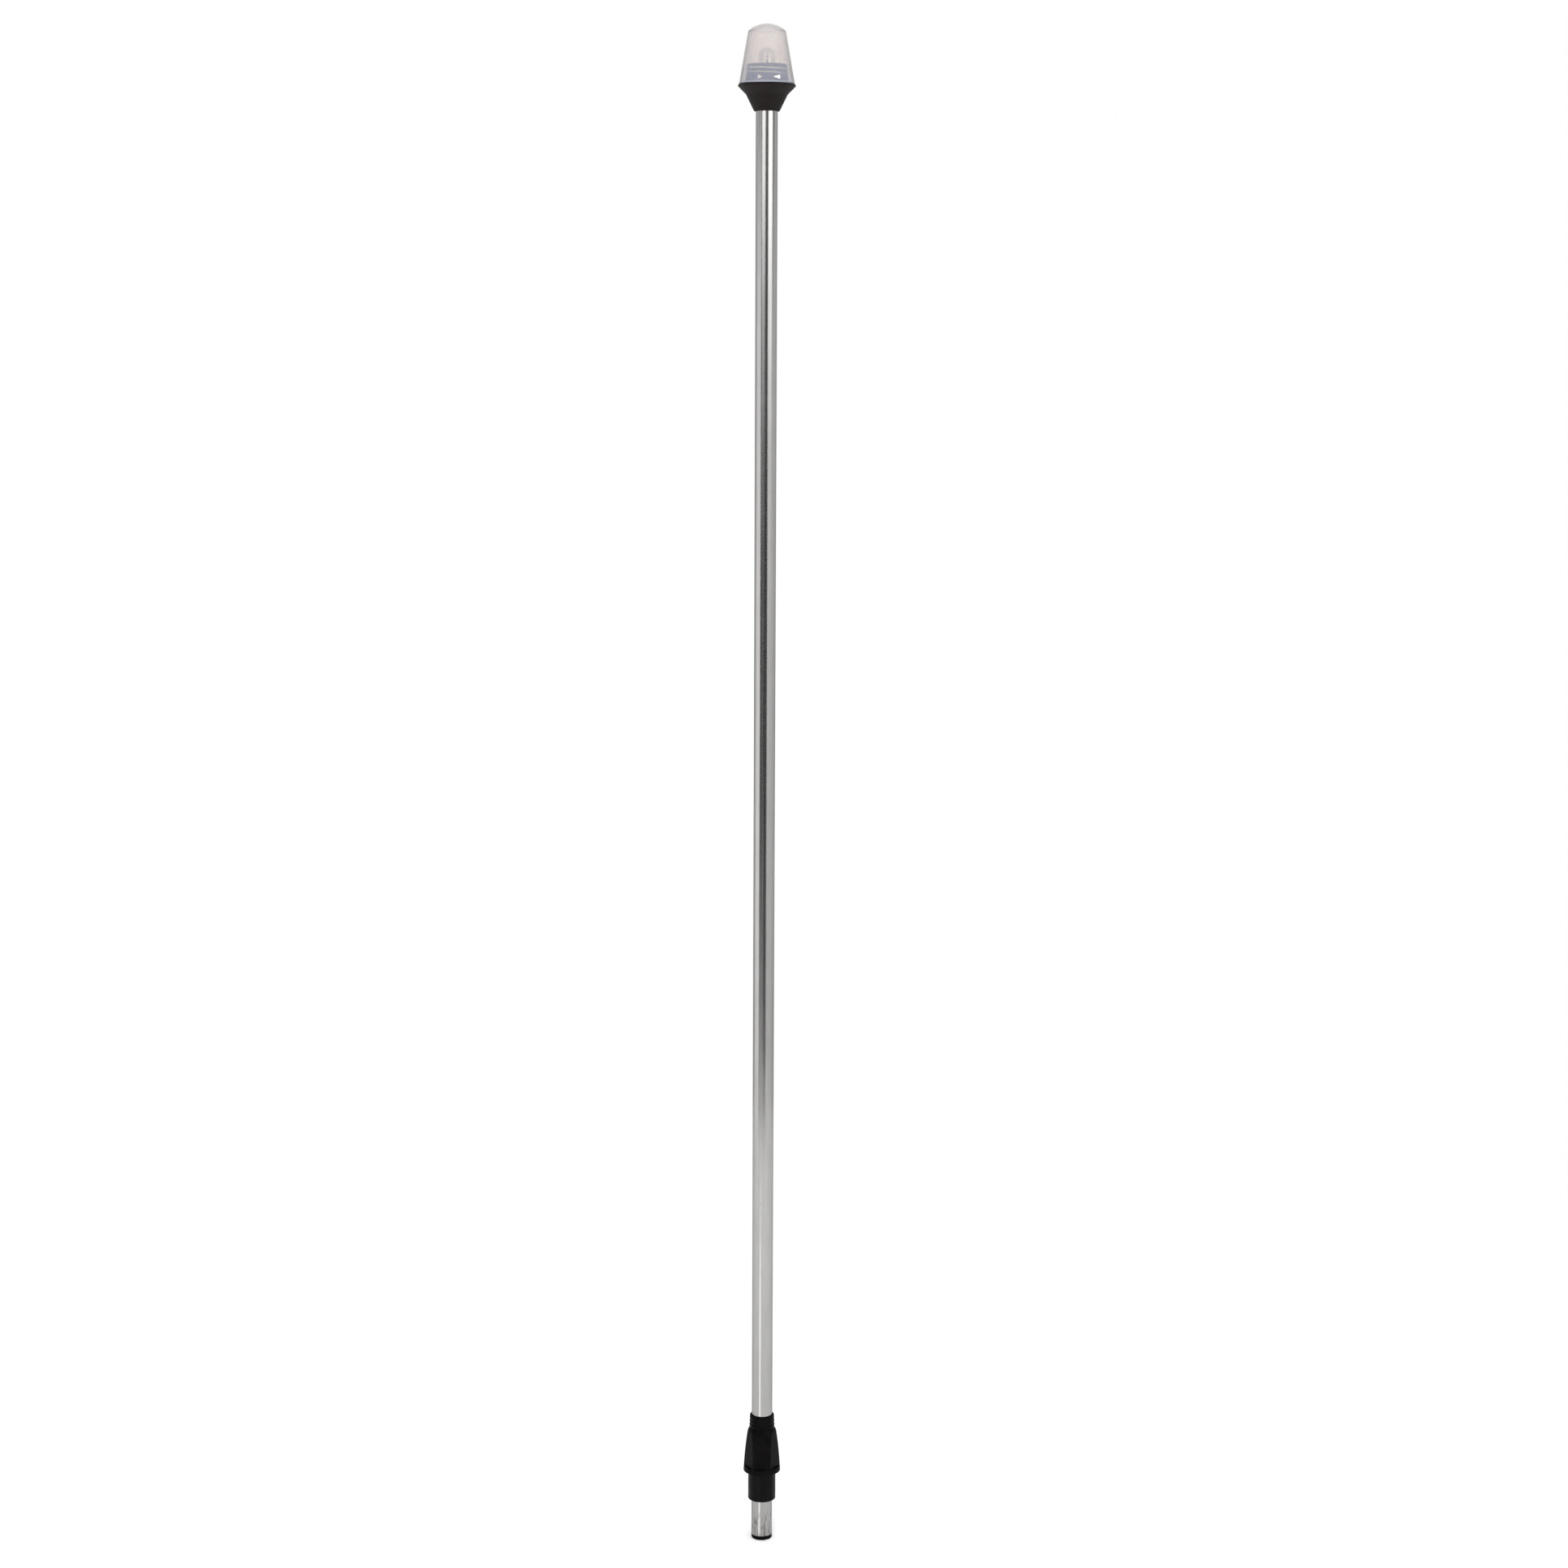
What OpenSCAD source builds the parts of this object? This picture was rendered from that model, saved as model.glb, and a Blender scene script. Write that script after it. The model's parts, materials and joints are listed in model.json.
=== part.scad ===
// All-round pole light for a small boat, in millimetres.
// Z runs up the pole from the flat face of the plug; the front of the light faces -Y.

/* [Overall] */
// Height of the whole light, from the plug's face to the top of the globe
overall_h = 1371.6; // [610:0.1:1600]

/* [Pole] */
// Outside diameter of the pole tube
pole_d = 19.05; // [18.95:0.05:19.15]
// Wall of the pole tube
pole_wall = 1.24; // [1.1:0.01:1.3]
// Length of the pole that is held inside the housing
pole_insert = 14; // [12:0.5:14.5]

/* [Housing] */
// Diameter of the housing where the pole enters it
housing_foot_d = 22.2; // [22:0.1:23.5]
// Diameter at the step in the funnel's slope
housing_kink_d = 36.2; // [35.5:0.1:37]
// Largest diameter, at the rim
housing_rim_d = 50; // [49.6:0.1:52]
// Inside diameter of the well that holds the lamp
well_d = 30.8; // [30.4:0.1:31]

/* [Globe] */
// Diameter of the globe at its mouth
globe_mouth_d = 48.3; // [48:0.1:48.6]
// Diameter of the globe at its shoulder
globe_shoulder_d = 32.6; // [32.2:0.1:33]
// Wall of the globe
globe_wall = 2; // [1.8:0.05:2.1]
// Pitch of the thread that holds the globe
thread_pitch = 3.7; // [3.5:0.1:3.8]

/* [Collar] */
// Height of the lock sleeve's lower end above the plug's face
sleeve_z = 38.2; // [36:0.1:40]
// Outside diameter of the lock sleeve
sleeve_d = 25.4; // [25.2:0.1:25.6]
// Largest diameter of the collar grip
grip_d = 34.1; // [33.8:0.1:35]
// Number of finger flats round the grip
grip_flats = 6; // [4:1:8]

/* [Plug] */
// Thickness of the plug's flange
plug_flange_h = 3.8; // [3:0.1:5]
// Distance between the two contacts
contact_pitch = 8; // [7.6:0.1:8.4]
// Bore of each contact
contact_bore_d = 3.2; // [2.8:0.1:3.4]

/* [Bulb] */
// Diameter of the bulb's glass
bulb_d = 14.4; // [13:0.1:15.2]

/* [Hidden] */
$fn = 96;
gap = 0.3;       // between pieces that move past each other
run = 0.05;      // radial clearance of a running fit
seat = 0.1;      // between faces that rest on a stop

// Pole
pole_r = pole_d / 2;
pole_bore_r = pole_r - pole_wall;

// Housing heights: foot, step in the slope, rim, deck that the globe stands on
foot_z = overall_h - 73.6;
kink_z = foot_z + 14.1;
rim_z = foot_z + 21;
rim_edge_h = 0.7;
deck_z = foot_z + 22.9;
well_z = foot_z + 17;
band_z = foot_z + 30.4;
neck_z = foot_z + 39.5;
well_r = well_d / 2;
wire_hole_r = 6;
deck_r = globe_mouth_d / 2 + 0.15;
band_r = 19.1;
thread_root_r = 17.3;
thread_crest_r = 18.5;
thread_h = 1.5;
thread_turns = 2.35;
thread_z = band_z - 1.1;      // centre of the thread's lower end
thread_lead_in = 24;          // degrees over which each end of a ridge fades
thread_step = 9;              // degrees

// Globe
globe_z = deck_z + seat;
shoulder_z = overall_h - 6;
mouth_r = globe_mouth_d / 2;
shoulder_r = globe_shoulder_d / 2;
globe_lean = (mouth_r - shoulder_r) / (shoulder_z - globe_z);
dome_h = overall_h - shoulder_z;
dome_r = (shoulder_r * shoulder_r + dome_h * dome_h) / (2 * dome_h);
edge_r = 2.2;                 // rounding of the globe's shoulder
ridge_r = thread_root_r + 0.55;   // inside of the globe's own ridge
ridge_h = 1.2;
ridge_turns = 1.45;
ridge_z = thread_z + thread_pitch / 2;

// Gasket in the mouth of the globe
gasket_h = 1.8;
gasket_in_r = band_r + gap;
gasket_out_r = mouth_r - globe_wall - 0.65;

// Bulb and its socket
bulb_r = bulb_d / 2;
bulb_top_z = foot_z + 53.9;
glass_wall = 0.8;
wedge_w = 9.5;
wedge_t = 2.4;
wedge_z = foot_z + 19.5;
wedge_h = 10.6;
bulb_neck_z = wedge_z + wedge_h - 0.6;
bulb_swell_h = 3.4;
post_x = 2.6;
post_r = 0.3;
filament_z = foot_z + 46;
lead_r = 0.25;
lead_y = wedge_t / 2 + lead_r;
socket_l = 16;
socket_w = 10.4;
socket_base_h = 2.5;
socket_top_z = foot_z + 28.6;
slot_l = wedge_w + 0.6;
slot_w = 4.6;
slot_z = wedge_z - 0.3;
screw_x = 12.3;
screw_r = 1.5;
screw_l = 7;
screw_head_r = 2.6;
screw_head_h = 2;
blade_t = 0.4;
blade_w = 6.4;
blade_y = lead_y + lead_r + 0.06;
barrel_y = 2.7;
barrel_r = 1.65;
barrel_z = well_z - 2.9;
barrel_top = barrel_z + 4;
blade_top_z = socket_top_z - 1.2;

// Wires
wire_r = 1.15;
wire_sides = 8;
wire_rings = 30;

// Plug
plug_r = pole_bore_r - 0.06;
plug_flange_r = pole_r - 0.01;
plug_top_z = 27;
plug_edge = 0.9;
contact_r = 2.2;
contact_recess = 0.6;
contact_depth = 15;
contact_top_z = 31;
seal_z = 14;
seal_r = 0.6;

// Collar: lock sleeve, guide bush and grip
sleeve_r = sleeve_d / 2;
stem_r = 11.1;
sleeve_stop_z = sleeve_z + 27.8;
sleeve_top_z = sleeve_z + 46;
sleeve_edge = 1.4;
lug_pin_r = 1.2;
lug_pin_tip_r = 10.2;
lug_pin_z = sleeve_z + 6;
stop_ring_h = 1.4;
stop_ring_r = 10.6;
stop_groove = 0.45;
depth_mark_z = sleeve_z - 1.1;        // groove that marks how deep the pole goes into its base
depth_mark_w = 0.8;
depth_mark = 0.2;
bush_r = 11.2;
bush_flange_r = sleeve_r - gap;
bush_flange_h = 2;
bush_z = sleeve_top_z + gap;
bush_top_z = sleeve_z + 60;
friction_r = 0.5;
friction_z = sleeve_z + 54;
grip_z = sleeve_z + 27.3;
grip_rim_h = 4.9;
grip_r = grip_d / 2;
grip_waist_r = 13.3;
grip_waist_z = grip_z + 38;
grip_bulge = 0.42;
grip_steps = 8;
grip_shoulder_r = 11.6;
grip_shoulder_z = grip_waist_z + 4;
grip_top_z = grip_z + 54.3;
grip_top_r = 11.05;
rib_pitch = 3.7;
rib_out = 0.45;
rib_r = 1.9;
flat_r = 14.5;
flat_tilt = 2.9;
flange_room_z = bush_z + bush_flange_h + gap;
ring_r = 0.6;                 // section of the wire ring that holds the sleeve in the grip
ring_z = sleeve_z + 38;

// ---------- shared shapes ----------

module tube(r_out, r_in, z0, z1)
    translate([0, 0, z0])
        difference() {
            cylinder(r = r_out, h = z1 - z0);
            translate([0, 0, -1]) cylinder(r = r_in, h = z1 - z0 + 2);
        }

module ring(r, section, z)
    translate([0, 0, z]) rotate_extrude() translate([r, 0]) circle(r = section);

// Straight run of round bar, at x and y, from z0 to z1
module bar(x, y, r, z0, z1)
    translate([x, y, z0]) cylinder(r = r, h = z1 - z0);

// Closed tube of side count n through rings of centres p, each ring level
function ring_points(p, r, n) =
    [for (c = p, k = [0 : n - 1]) c + [r * cos(360 * k / n), r * sin(360 * k / n), 0]];
function ring_faces(rings, n) =
    [for (i = [0 : rings - 2], k = [0 : n - 1])
        [i * n + k, i * n + (k + 1) % n, (i + 1) * n + (k + 1) % n, (i + 1) * n + k]];
module level_sweep(p, r, n)
    polyhedron(points = ring_points(p, r, n),
        faces = concat([[for (k = [0 : n - 1]) k]],
            [for (f = ring_faces(len(p), n)) [f[3], f[2], f[1], f[0]]],
            [[for (k = [n - 1 : -1 : 0]) (len(p) - 1) * n + k]]));

// ---------- head ----------

// Radius of the globe's outside at a height
function globe_r(z) = mouth_r - globe_lean * (z - globe_z);

// Half outline of the globe's outside, drawn "in" inwards: a cone and a dome with a
// round edge of radius e between them, whose centre [fr, fz] is e inside both
module globe_half(in = 0) {
    e = max(edge_r - in, 0.5);
    slope = 1 + globe_lean * globe_lean;
    dome_z = overall_h - dome_r;
    b = globe_r(dome_z) - in - e * sqrt(slope);
    reach = dome_r - in - e;
    u = (b * globe_lean + sqrt(b * b * globe_lean * globe_lean
        - slope * (b * b - reach * reach))) / slope;
    fr = b - globe_lean * u;
    fz = dome_z + u;
    cone_touch = [fr, fz] + e / sqrt(slope) * [1, globe_lean];
    dome_touch = [0, dome_z] + (dome_r - in) / reach * [fr, u];
    intersection() {
        translate([0, dome_z]) circle(r = dome_r - in, $fn = 200);
        polygon([[0, dome_z - 8], [fr, fz], 2 * dome_touch - [fr, fz], [fr, overall_h + 30],
            [0, overall_h + 30]]);
    }
    polygon([[0, globe_z - 5], [globe_r(globe_z - 5) - in, globe_z - 5], cone_touch, [fr, fz],
        [0, dome_z]]);
    translate([fr, fz]) circle(r = e);
}

// How much of a ridge's height stands at a turn, in degrees from its lower end
function fade(turn, turns) =
    min(1, (min(turn, 360 * turns - turn) + 1) / thread_lead_in);

// Four corners of a ridge that climbs to the left, from radius r0 to r1, h0 and h1 high there
function ridge_corners(turn, z, r0, r1, h0, h1) = let (d = [cos(turn), -sin(turn), 0])
    [r0 * d + [0, 0, z - h0 / 2], r1 * d + [0, 0, z - h1 / 2],
        r1 * d + [0, 0, z + h1 / 2], r0 * d + [0, 0, z + h0 / 2]];
module ridge(corners)
    polyhedron(
        points = [for (c = corners) each c],
        faces = concat([[0, 1, 2, 3]],
            [for (i = [0 : len(corners) - 2], k = [0 : 3])
                [4 * i + 4 + k, 4 * i + 4 + (k + 1) % 4, 4 * i + (k + 1) % 4, 4 * i + k]],
            [[for (k = [3 : -1 : 0]) 4 * len(corners) - 4 + k]]));

// The globe's own ridge, which runs between the turns of the neck's
function globe_ridge_corners(turn) = let (
    z = ridge_z + thread_pitch * turn / 360,
    root = globe_r(z) - globe_wall / 2)
    ridge_corners(turn, z, root - 1.05 - (root - 1.05 - ridge_r) * fade(turn, ridge_turns), root,
        ridge_h, ridge_h);

module globe() {
    color([0.86, 0.85, 0.84, 0.6])
        union() {
            rotate_extrude($fn = 160)
                difference() {
                    intersection() {
                        globe_half();
                        translate([0, globe_z]) square([60, 80]);
                    }
                    globe_half(globe_wall);
                }
            ridge([for (a = [0 : thread_step : 360 * ridge_turns]) globe_ridge_corners(a)]);
        }
}

module globe_gasket() {
    color([0.12, 0.12, 0.13])
        tube(gasket_out_r, gasket_in_r, globe_z + 0.05, globe_z + 0.05 + gasket_h);
}

// The ridge round the neck
function neck_ridge_corners(turn) =
    ridge_corners(turn, thread_z + thread_pitch * turn / 360, thread_root_r - 0.4,
        thread_root_r + 0.05 + (thread_crest_r - thread_root_r) * fade(turn, thread_turns),
        thread_h, thread_h / 2);

module housing() {
    color([0.08, 0.08, 0.085])
        difference() {
            union() {
                rotate_extrude()
                    polygon([[0, foot_z], [housing_foot_d / 2, foot_z],
                        [housing_kink_d / 2, kink_z], [housing_rim_d / 2, rim_z],
                        [housing_rim_d / 2, rim_z + rim_edge_h], [deck_r, deck_z],
                        [band_r, deck_z], [band_r, band_z - 0.8], [band_r - 0.8, band_z],
                        [thread_root_r, band_z], [thread_root_r, neck_z - 0.5],
                        [thread_root_r - 0.5, neck_z], [0, neck_z]]);
                ridge([for (a = [0 : thread_step : 360 * thread_turns]) neck_ridge_corners(a)]);
            }
            translate([0, 0, foot_z - 1]) cylinder(r = pole_r + 0.02, h = pole_insert + 1.05);
            translate([0, 0, foot_z]) cylinder(r = wire_hole_r, h = 40);
            translate([0, 0, well_z]) cylinder(r = well_r, h = 40);
            for (s = [-1, 1])
                bar(s * screw_x, 0, screw_r + 0.02, well_z - screw_l, well_z + 1);
        }
}

module lamp_socket() {
    color([0.9, 0.89, 0.85])
        difference() {
            union() {
                intersection() {
                    translate([-20, -socket_w / 2, well_z]) cube([40, socket_w, socket_base_h]);
                    translate([0, 0, well_z]) cylinder(r = well_r - 0.2, h = socket_base_h);
                }
                translate([-socket_l / 2, -socket_w / 2, well_z])
                    cube([socket_l, socket_w, socket_top_z - well_z]);
            }
            translate([-slot_l / 2, -slot_w / 2, slot_z]) cube([slot_l, slot_w, 20]);
            for (s = [-1, 1]) {
                bar(s * screw_x, 0, screw_r + 0.1, well_z - 1, well_z + 5);
                bar(0, s * barrel_y, barrel_r + 0.05, well_z - 1, barrel_top + 0.05);
                translate([0, s * (blade_y + blade_t / 2), well_z + 2])
                    cube([blade_w + 0.1, blade_t + 0.1, 4], center = true);
            }
        }
}

// One spring contact: a blade beside the bulb's wedge over a crimp barrel
module socket_contact(side) {
    cap_h = 0.6;
    color([0.8, 0.62, 0.28])
        union() {
            translate([-blade_w / 2, side * blade_y - (side < 0 ? blade_t : 0), barrel_top - cap_h])
                cube([blade_w, blade_t, blade_top_z - barrel_top + cap_h]);
            translate([0, side * barrel_y, 0])
                tube(barrel_r, wire_r + 0.02, barrel_z, barrel_top - cap_h + 0.1);
            bar(0, side * barrel_y, barrel_r, barrel_top - cap_h, barrel_top);
        }
}

module socket_contact_front() { socket_contact(-1); }

module socket_contact_rear() { socket_contact(1); }

module socket_screws() {
    head_z = well_z + socket_base_h;
    color([0.75, 0.75, 0.77])
        for (s = [-1, 1])
            difference() {
                union() {
                    bar(s * screw_x, 0, screw_r, well_z - screw_l + 0.2, head_z + 0.1);
                    bar(s * screw_x, 0, screw_head_r, head_z, head_z + screw_head_h);
                }
                for (a = [0, 90])
                    translate([s * screw_x, 0, head_z + screw_head_h]) rotate([0, 0, a])
                        cube([2.8, 0.6, 2], center = true);
            }
}

// Half outline of the bulb, drawn "in" inwards
module bulb_half(in = 0) {
    dome_z = bulb_top_z - bulb_r;
    intersection() {
        union() {
            translate([0, dome_z]) circle(r = bulb_r - in);
            polygon([[0, bulb_neck_z + in], [2.6 - in, bulb_neck_z + in],
                [bulb_r - in, bulb_neck_z + bulb_swell_h + in], [bulb_r - in, dome_z], [0, dome_z]]);
        }
        square([60, overall_h]);
    }
}

module bulb_glass() {
    color([0.9, 0.92, 0.94, 0.35])
        difference() {
            union() {
                rotate_extrude() difference() { bulb_half(); bulb_half(glass_wall); }
                translate([-wedge_w / 2, -wedge_t / 2, wedge_z]) cube([wedge_w, wedge_t, wedge_h]);
            }
            for (s = [-1, 1])
                bar(s * post_x, 0, post_r + 0.02, wedge_z - 1, bulb_neck_z + 6);
        }
}

module bulb_leads() {
    color([0.7, 0.68, 0.64])
        for (s = [-1, 1]) {
            bar(s * post_x, 0, post_r, wedge_z - 0.15, filament_z);
            bar(s * post_x, s * lead_y, lead_r, wedge_z - 0.15, wedge_z + 7);
            translate([s * post_x - lead_r, min(0, s * lead_y), wedge_z - 0.15])
                cube([2 * lead_r, lead_y, 0.1]);
        }
}

module bulb_filament() {
    color([0.35, 0.35, 0.37])
        translate([0, 0, filament_z + 0.45]) rotate([0, 90, 0])
            cylinder(r = 0.4, h = 2 * post_x + 0.6, center = true);
}

// ---------- pole and wiring ----------

module pole_tube() {
    color([0.78, 0.78, 0.79])
        difference() {
            tube(pole_r, pole_bore_r, plug_flange_h, foot_z + pole_insert);
            tube(pole_r + 1, pole_r - stop_groove, sleeve_stop_z - seat - stop_ring_h - 0.05,
                sleeve_stop_z - seat + 0.05);
            tube(pole_r + 1, pole_r - depth_mark, depth_mark_z, depth_mark_z + depth_mark_w);
        }
}

module wire_grommet() {
    top_z = foot_z + pole_insert;
    color([0.15, 0.15, 0.16])
        difference() {
            bar(0, 0, pole_bore_r - 0.03, top_z - 6, top_z - 0.1);
            for (s = [-1, 1])
                bar(0, s * barrel_y, wire_r + 0.05, top_z - 7, top_z + 1);
        }
}

// Route of a wire: a slow quarter twist from the plug's contact to the socket's contact
function wire_route(side) = let (z0 = contact_top_z - 3, z1 = foot_z + pole_insert - 8)
    concat([[side * contact_pitch / 2, 0, z0], [side * contact_pitch / 2, 0, z0 + 4]],
        [for (i = [1 : wire_rings - 1]) let (t = i / wire_rings, a = 90 * t,
            r = contact_pitch / 2 * (1 - t) + barrel_y * t)
            [side * r * cos(a), side * r * sin(a), z0 + 4 + (z1 - z0 - 4) * t]],
        [[0, side * barrel_y, z1], [0, side * barrel_y, barrel_top - 0.7]]);

module wire_positive() {
    color([0.75, 0.1, 0.08]) level_sweep(wire_route(1), wire_r, wire_sides);
}

module wire_negative() {
    color([0.1, 0.1, 0.1]) level_sweep(wire_route(-1), wire_r, wire_sides);
}

module plug_body() {
    color([0.09, 0.09, 0.09])
        difference() {
            rotate_extrude()
                difference() {
                    polygon([[0, 0], [plug_flange_r - plug_edge, 0], [plug_flange_r, plug_edge],
                        [plug_flange_r, plug_flange_h], [plug_r, plug_flange_h],
                        [plug_r, plug_top_z - 1], [plug_r - 1, plug_top_z], [0, plug_top_z]]);
                    translate([pole_bore_r - 2 * seal_r - 0.04, seal_z - seal_r - 0.05])
                        square([3, 2 * seal_r + 0.1]);
                }
            for (s = [-1, 1])
                bar(s * contact_pitch / 2, 0, contact_r + 0.03, -1, plug_top_z + 1);
        }
}

module plug_contact(side) {
    color([0.83, 0.66, 0.32])
        translate([side * contact_pitch / 2, 0, 0])
            difference() {
                bar(0, 0, contact_r, contact_recess, contact_top_z);
                bar(0, 0, contact_bore_d / 2, contact_recess - 1, contact_recess + contact_depth);
                bar(0, 0, wire_r + 0.03, contact_top_z - 3, contact_top_z + 1);
            }
}

module plug_contact_left() { plug_contact(-1); }

module plug_contact_right() { plug_contact(1); }

module plug_seal_ring() {
    color([0.13, 0.13, 0.14]) ring(pole_bore_r - 0.02 - seal_r, seal_r, seal_z);
}

// ---------- collar ----------

// Split ring in the pole's groove, which the lock sleeve rests on
module stop_ring() {
    color([0.62, 0.62, 0.64])
        difference() {
            tube(stop_ring_r, pole_r - stop_groove + 0.02, sleeve_stop_z - seat - stop_ring_h,
                sleeve_stop_z - seat);
            translate([-1.2, 0, sleeve_stop_z - 5]) cube([2.4, 20, 10]);
        }
}

module guide_bush() {
    color([0.82, 0.82, 0.79])
        difference() {
            union() {
                bar(0, 0, bush_flange_r, bush_z, bush_z + bush_flange_h);
                bar(0, 0, bush_r, bush_z, bush_top_z);
            }
            bar(0, 0, pole_r + run, bush_z - 1, bush_top_z + 1);
            bar(0, 0, pole_r + 2 * friction_r + 0.1, friction_z - friction_r - 0.1,
                friction_z + friction_r + 0.1);
        }
}

module friction_ring() {
    color([0.14, 0.14, 0.15]) ring(pole_r + 0.04 + friction_r, friction_r, friction_z);
}

module lock_sleeve() {
    color([0.07, 0.07, 0.07])
        union() {
            rotate_extrude()
                polygon([[stem_r, sleeve_z], [sleeve_r - sleeve_edge, sleeve_z],
                    [sleeve_r - 0.4 * sleeve_edge, sleeve_z + 0.25 * sleeve_edge],
                    [sleeve_r, sleeve_z + sleeve_edge], [sleeve_r, ring_z - ring_r],
                    [sleeve_r - ring_r, ring_z - ring_r], [sleeve_r - ring_r, ring_z + ring_r],
                    [sleeve_r, ring_z + ring_r], [sleeve_r, sleeve_top_z],
                    [pole_r + gap, sleeve_top_z], [pole_r + gap, sleeve_stop_z],
                    [stem_r, sleeve_stop_z]]);
            for (s = [-1, 1])
                translate([s * lug_pin_tip_r, 0, lug_pin_z]) rotate([0, s * 90, 0])
                    cylinder(r = lug_pin_r, h = stem_r - lug_pin_tip_r + 0.6);
        }
}

// Radius of the grip's flare, from the rim (t = 0) to the waist (t = 1)
function flare_r(t) = grip_r - 0.35 + (grip_waist_r - grip_r + 0.35) * t
    + 4 * grip_bulge * t * (1 - t);

module grip_outline() {
    rim_top = grip_z + grip_rim_h - 0.4;
    polygon(concat([[0, grip_z], [grip_r - 0.5, grip_z], [grip_r, grip_z + 0.6]],
        [for (i = [0 : grip_steps]) let (t = i / grip_steps)
            [flare_r(t), rim_top + (grip_waist_z - rim_top) * t]],
        [[grip_waist_r - 0.3, grip_waist_z + 1], [grip_shoulder_r + 0.35, grip_shoulder_z - 0.6],
            [grip_shoulder_r - 0.3, grip_shoulder_z],
            [grip_top_r, grip_top_z], [0, grip_top_z]]));
    intersection() {
        square([60, grip_top_z]);
        for (i = [0 : 2])
            translate([grip_shoulder_r - 0.15 * (i + 0.5) + rib_out - rib_r - 0.3,
                grip_shoulder_z + 2.4 + rib_pitch * i])
                circle(r = rib_r);
    }
}

module collar_grip() {
    color([0.06, 0.06, 0.06])
        difference() {
            rotate_extrude() grip_outline();
            for (i = [0 : grip_flats - 1])
                rotate([0, 0, 360 * i / grip_flats])
                    translate([-20, -flat_r, grip_z + grip_rim_h])
                        rotate([-flat_tilt, 0, 0]) translate([0, -10, 0]) cube([40, 10, 60]);
            bar(0, 0, pole_r + gap, grip_z - 1, grip_top_z + 1);
            bar(0, 0, bush_r + run, grip_z, bush_top_z + gap);
            bar(0, 0, sleeve_r + 0.02, grip_z - 1, flange_room_z);
            bar(0, 0, sleeve_r + ring_r, ring_z - ring_r, ring_z + ring_r);
        }
}

// Wire ring that sits half in the sleeve's groove and half in the grip's
module grip_retaining_ring() {
    color([0.62, 0.62, 0.64])
        difference() {
            ring(sleeve_r, ring_r - 0.03, ring_z);
            translate([-1, 0, ring_z - 3]) cube([2, 30, 6]);
        }
}

globe();
globe_gasket();
housing();
lamp_socket();
socket_contact_front();
socket_contact_rear();
socket_screws();
bulb_glass();
bulb_leads();
bulb_filament();
pole_tube();
wire_grommet();
wire_positive();
wire_negative();
plug_body();
plug_contact_left();
plug_contact_right();
plug_seal_ring();
stop_ring();
guide_bush();
friction_ring();
lock_sleeve();
collar_grip();
grip_retaining_ring();
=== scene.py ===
"""Looks of an all-round pole light: meshes, materials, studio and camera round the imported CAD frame."""

import json
import math

import bmesh
import bpy
from mathutils import Matrix, Vector


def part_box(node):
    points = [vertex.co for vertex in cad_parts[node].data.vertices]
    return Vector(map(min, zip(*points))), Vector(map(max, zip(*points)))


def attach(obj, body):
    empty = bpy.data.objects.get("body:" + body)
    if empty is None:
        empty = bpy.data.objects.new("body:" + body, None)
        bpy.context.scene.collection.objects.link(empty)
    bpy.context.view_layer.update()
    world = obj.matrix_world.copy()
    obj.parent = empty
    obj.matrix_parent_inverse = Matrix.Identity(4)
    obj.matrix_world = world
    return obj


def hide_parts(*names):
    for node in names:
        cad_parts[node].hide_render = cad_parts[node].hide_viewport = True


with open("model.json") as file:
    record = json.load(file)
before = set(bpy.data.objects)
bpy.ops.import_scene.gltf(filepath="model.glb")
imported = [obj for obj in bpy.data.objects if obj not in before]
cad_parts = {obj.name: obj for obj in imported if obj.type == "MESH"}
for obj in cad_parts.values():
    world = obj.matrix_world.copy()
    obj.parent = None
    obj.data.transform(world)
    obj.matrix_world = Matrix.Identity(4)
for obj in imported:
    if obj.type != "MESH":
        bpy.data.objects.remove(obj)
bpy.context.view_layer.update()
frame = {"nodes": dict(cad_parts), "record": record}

MM = 0.001
TURNED_SIDES = 160
WHITE = (1, 1, 1, 1)

# ---------- camera ----------

CAMERA_AWAY = 2.5937  # from the pole's axis, level
CAMERA_UP = 1.11607  # above the plug's face
CAMERA_SIDE = 0.0176  # to the right of the pole
CAMERA_DOWN = 8.9  # degrees below level
CAMERA_ROLL = 0.273  # degrees
LENS_MM = 67.36
SENSOR_MM = 36.0


def make_camera():
    data = bpy.data.cameras.new("camera")
    data.lens, data.sensor_width = LENS_MM, SENSOR_MM
    data.clip_start, data.clip_end = 0.05, 100
    camera = bpy.data.objects.new("camera", data)
    bpy.context.scene.collection.objects.link(camera)
    tilt = Matrix.Rotation(math.radians(90 - CAMERA_DOWN), 4, "X")
    roll = Matrix.Rotation(math.radians(CAMERA_ROLL), 4, "Z")
    place = Matrix.Translation((CAMERA_SIDE, -CAMERA_AWAY, CAMERA_UP))
    camera.matrix_world = place @ tilt @ roll
    bpy.context.scene.camera = camera


def extent(node):
    """Lowest and highest height of a CAD node, and how far it reaches in x, in millimetres."""
    low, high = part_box(node)
    return low.z / MM, high.z / MM, high.x / MM


# ---------- nodes ----------


def add(tree, kind, sockets=None, **settings):
    """A node; a socket's value is a number, a colour or another node's output."""
    node = tree.nodes.new(kind)
    for key, value in settings.items():
        setattr(node, key, value)
    for key, value in (sockets or {}).items():
        if isinstance(value, bpy.types.NodeSocket):
            tree.links.new(value, node.inputs[key])
        else:
            node.inputs[key].default_value = value
    return node


def math_node(tree, operation, *values):
    return add(tree, "ShaderNodeMath", dict(enumerate(values)), operation=operation).outputs[0]


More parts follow.
